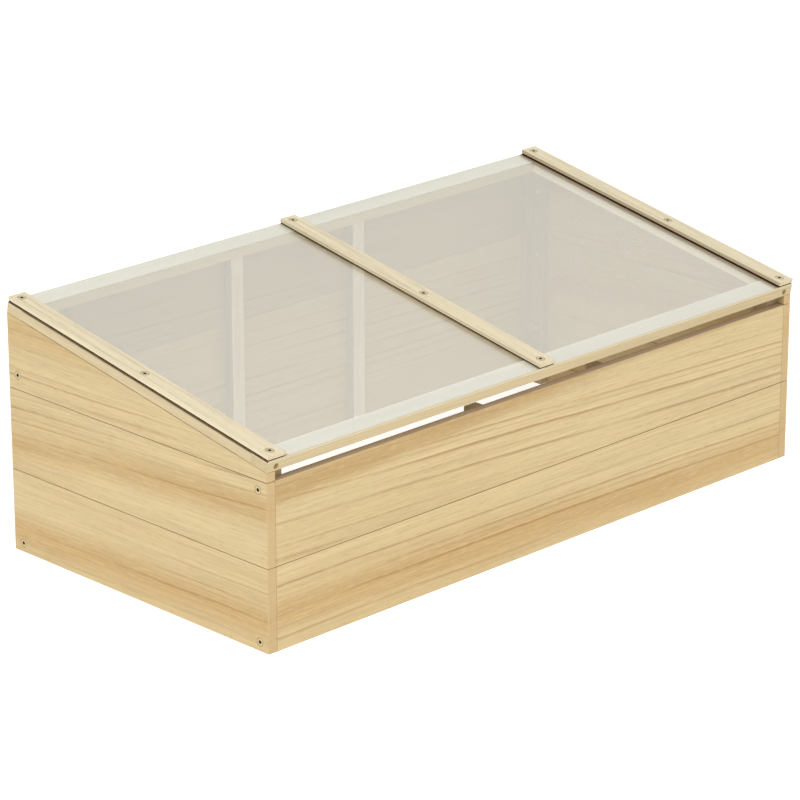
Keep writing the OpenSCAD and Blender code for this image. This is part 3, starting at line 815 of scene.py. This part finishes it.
class FinishTapes(bpy.types.Operator):
    """Finish the sealing tapes between the strips and the sheets"""
    bl_idname = "coldframe.finish_tapes"
    bl_label = "Sealing Tapes"

    def execute(self, context):
        foam = context.scene.cold_frame_sheet.tape
        material, sketch, shader = new_material("Foam rubber")
        source = sketch.add("ShaderNodeTexCoord", {}, out="Object")
        cells = sketch.add("ShaderNodeTexVoronoi", {"Vector": source, "Scale": FOAM_CELLS},
                           out="Distance")
        cloud = sketch.noise(source, (60, 60, 60), detail=3.0)
        # The foam's near-black brown is painted shade for the slot under each strip.
        shade = sketch.blend(sketch.ramp(cloud, 0.35, 0.65), foam,
                             [c * FADED_FOAM_TONE for c in foam])
        sketch.put(shader.inputs["Base Color"], shade)
        sketch.put(shader.inputs["Roughness"], sketch.ramp(cloud, *NOISE_SPAN, *FOAM_ROUGHNESS))
        shader.inputs["Specular IOR Level"].default_value = 0.0
        add_bump(sketch, shader, cells, FOAM_RELIEF, FOAM_DEPTH)
        for node in TAPES:
            give_finish(node, material)
        return {"FINISHED"}


# ---------------------------------------------------------------- hardware

def screw_axes(node, turn):
    """The middle of each screw of a node, in a space whose Z lies along the screws."""
    turned = turn.to_matrix()
    clusters = []
    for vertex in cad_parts[node].data.vertices:
        point = (turned @ vertex.co).to_2d()
        for cluster in clusters:
            if (cluster[0] - point).length < SCREW_APART:
                cluster.append(point)
                break
        else:
            clusters.append([point])
    return [tuple((min(p[i] for p in cluster) + max(p[i] for p in cluster)) / 2 for i in (0, 1))
            for cluster in clusters]


def head_marks(sketch, source, node, turn, reach):
    """How far out from the nearest screw's axis, as a share of reach."""
    place = sketch.add("ShaderNodeMapping", {"Vector": source, "Rotation": turn})
    nearest = None
    for x, y in screw_axes(node, turn):
        away = sketch.vector("LENGTH", sketch.vector(
            "MULTIPLY", sketch.vector("SUBTRACT", place, (x, y, 0)), (1, 1, 0)))
        nearest = away if nearest is None else sketch.sums("MINIMUM", nearest, away)
    return sketch.sums("DIVIDE", nearest, reach)


def steel(name, base, nodes, turn=None, metallic=1.0):
    """Finishes steel parts; turn brings the screws whose heads are marked onto Z."""
    look = bpy.context.scene.cold_frame_hardware
    material, sketch, shader = new_material(name)
    source = sketch.add("ShaderNodeTexCoord", {}, out="Object")
    surface = add_group(sketch, group("Steel surface", metal_group),
                        {"Place": source, "Base": base,
                         "Worn": [c * WORN_STEEL_TONE for c in base]})
    shade = surface["Colour"]
    if turn:
        # Painted shade in the rim around each head and in its socket.
        out = head_marks(sketch, source, nodes[0], turn, look.head / 2)
        rim = sketch.ramp(out, *RIM_BAND, 0.0, look.rim_share)
        socket = sketch.ramp(out, *SOCKET_BAND, SOCKET_SHARE, 0.0)
        shade = sketch.blend(rim, shade, look.rim)
        shade = sketch.blend(socket, shade, look.socket)
    sketch.put(shader.inputs["Base Color"], shade)
    sketch.put(shader.inputs["Roughness"], surface["Roughness"])
    shader.inputs["Metallic"].default_value = metallic
    add_bump(sketch, shader, surface["Height"], STEEL_RELIEF, STEEL_DEPTH)
    for node in nodes:
        give_finish(node, material)


class FinishScrews(bpy.types.Operator):
    """Finish the screws, with the washer and nut under the centre strip"""
    bl_idname = "coldframe.finish_screws"
    bl_label = "Screws"

    def execute(self, context):
        look = context.scene.cold_frame_hardware
        for node, turn in MARKED_SCREWS:
            base = look.wall_screw if "wall" in node else look.screw
            steel(f"Passivated steel {node}", base, [node], turn)
        steel("Passivated steel", look.screw, CLAMP_FITTINGS)
        steel("Passivated steel lid_frame_screws", look.sunk_screw, ["lid_frame_screws"],
              metallic=SUNK_SCREW_METALLIC)
        return {"FINISHED"}


class FinishNails(bpy.types.Operator):
    """Finish the nails that hold the boards to the battens"""
    bl_idname = "coldframe.finish_nails"
    bl_label = "Nails"

    def execute(self, context):
        look = context.scene.cold_frame_hardware
        steel("Drawn steel", look.nail, NAILS, metallic=NAIL_METALLIC)
        return {"FINISHED"}


class FinishHinges(bpy.types.Operator):
    """Finish the two hinges and their screws"""
    bl_idname = "coldframe.finish_hinges"
    bl_label = "Hinges"

    def execute(self, context):
        steel("Zinc plate", context.scene.cold_frame_hardware.hinge, HINGES + HINGE_SCREWS)
        return {"FINISHED"}


# ---------------------------------------------------------------- studio

class BuildStudio(bpy.types.Operator):
    """Set up the camera, the floor and the light"""
    bl_idname = "coldframe.build_studio"
    bl_label = "Studio"

    def execute(self, context):
        look = context.scene.cold_frame_studio
        self.place_camera(context, look)
        self.lay_floor(context, look)
        self.set_lights(context, look)
        return {"FINISHED"}

    @staticmethod
    def place_camera(context, look):
        data = bpy.data.cameras.new("Camera")
        data.sensor_width = SENSOR_WIDTH
        data.lens = look.lens
        data.clip_end = CAMERA_RANGE
        camera = bpy.data.objects.new("Camera", data)
        context.scene.collection.objects.link(camera)
        bearing, pitch, roll = (math.radians(angle) for angle in CAMERA_ANGLES)
        forward = Vector((math.cos(pitch) * math.sin(bearing),
                          math.cos(pitch) * math.cos(bearing), -math.sin(pitch)))
        right = Vector((math.cos(bearing), -math.sin(bearing), 0))
        up = right.cross(forward)
        turned = right * math.cos(roll) + up * math.sin(roll)
        upright = up * math.cos(roll) - right * math.sin(roll)
        matrix = Matrix((turned, upright, -forward)).transposed().to_4x4()
        matrix.translation = Vector(CAMERA_PLACE)
        camera.matrix_world = matrix
        context.scene.camera = camera

    @staticmethod
    def lay_floor(context, look):
        corners = [(x * FLOOR_REACH, y * FLOOR_REACH, 0)
                   for x, y in ((-1, -1), (1, -1), (1, 1), (-1, 1))]
        mesh = bpy.data.meshes.new("Floor")
        mesh.from_pydata(corners, [], [(0, 1, 2, 3)])
        floor = bpy.data.objects.new("Floor", mesh)
        context.scene.collection.objects.link(floor)
        material, _, shader = new_material("Studio floor")
        shader.inputs["Base Color"].default_value = (*look.floor, 1)
        shader.inputs["Roughness"].default_value = FLOOR_ROUGHNESS
        shader.inputs["Emission Color"].default_value = (1, 1, 1, 1)
        shader.inputs["Emission Strength"].default_value = look.glow
        mesh.materials.append(material)

    @staticmethod
    def set_lights(context, look):
        world = bpy.data.worlds.new("Studio light")
        world.use_nodes = True
        background = world.node_tree.nodes["Background"]
        background.inputs["Color"].default_value = (1, 1, 1, 1)
        background.inputs["Strength"].default_value = look.sky
        context.scene.world = world
        data = bpy.data.lights.new("Key", "AREA")
        data.shape = "DISK"
        data.size = KEY_SIZE
        data.energy = look.key
        key = bpy.data.objects.new("Key", data)
        key.location = KEY_PLACE
        key.rotation_mode = "QUATERNION"
        key.rotation_quaternion = (-key.location).to_track_quat("-Z", "Y")
        context.scene.collection.objects.link(key)
        context.scene.view_settings.view_transform = "Standard"


# ---------------------------------------------------------------- add-on

OPERATORS = (FinishSideWalls, FinishEndWalls, FinishBattens, FinishLidRails, FinishStrips,
             FinishSheets, FinishTapes, FinishScrews, FinishNails, FinishHinges, BuildStudio)
SETTINGS = (("cold_frame_timber", TimberSettings), ("cold_frame_sheet", SheetSettings),
            ("cold_frame_hardware", HardwareSettings), ("cold_frame_studio", StudioSettings))


class ColdFramePanel(bpy.types.Panel):
    """Lists the finishes and their settings"""
    bl_idname = "VIEW3D_PT_cold_frame"
    bl_label = "Cold Frame"
    bl_space_type = "VIEW_3D"
    bl_region_type = "UI"
    bl_category = "Cold Frame"

    def draw(self, context):
        for name, settings in SETTINGS:
            box = self.layout.box()
            for field in settings.__annotations__:
                box.prop(getattr(context.scene, name), field)
        for operator in OPERATORS:
            self.layout.operator(operator.bl_idname)


def register():
    for name, settings in SETTINGS:
        bpy.utils.register_class(settings)
        setattr(bpy.types.Scene, name, bpy.props.PointerProperty(type=settings))
    for kind in (*OPERATORS, ColdFramePanel):
        bpy.utils.register_class(kind)


def unregister():
    for kind in reversed((*OPERATORS, ColdFramePanel)):
        bpy.utils.unregister_class(kind)
    for name, settings in reversed(SETTINGS):
        delattr(bpy.types.Scene, name)
        bpy.utils.unregister_class(settings)


def main():
    register()
    for operator in OPERATORS:
        module, name = operator.bl_idname.split(".")
        getattr(getattr(bpy.ops, module), name)()


if __name__ == "__main__":
    main()
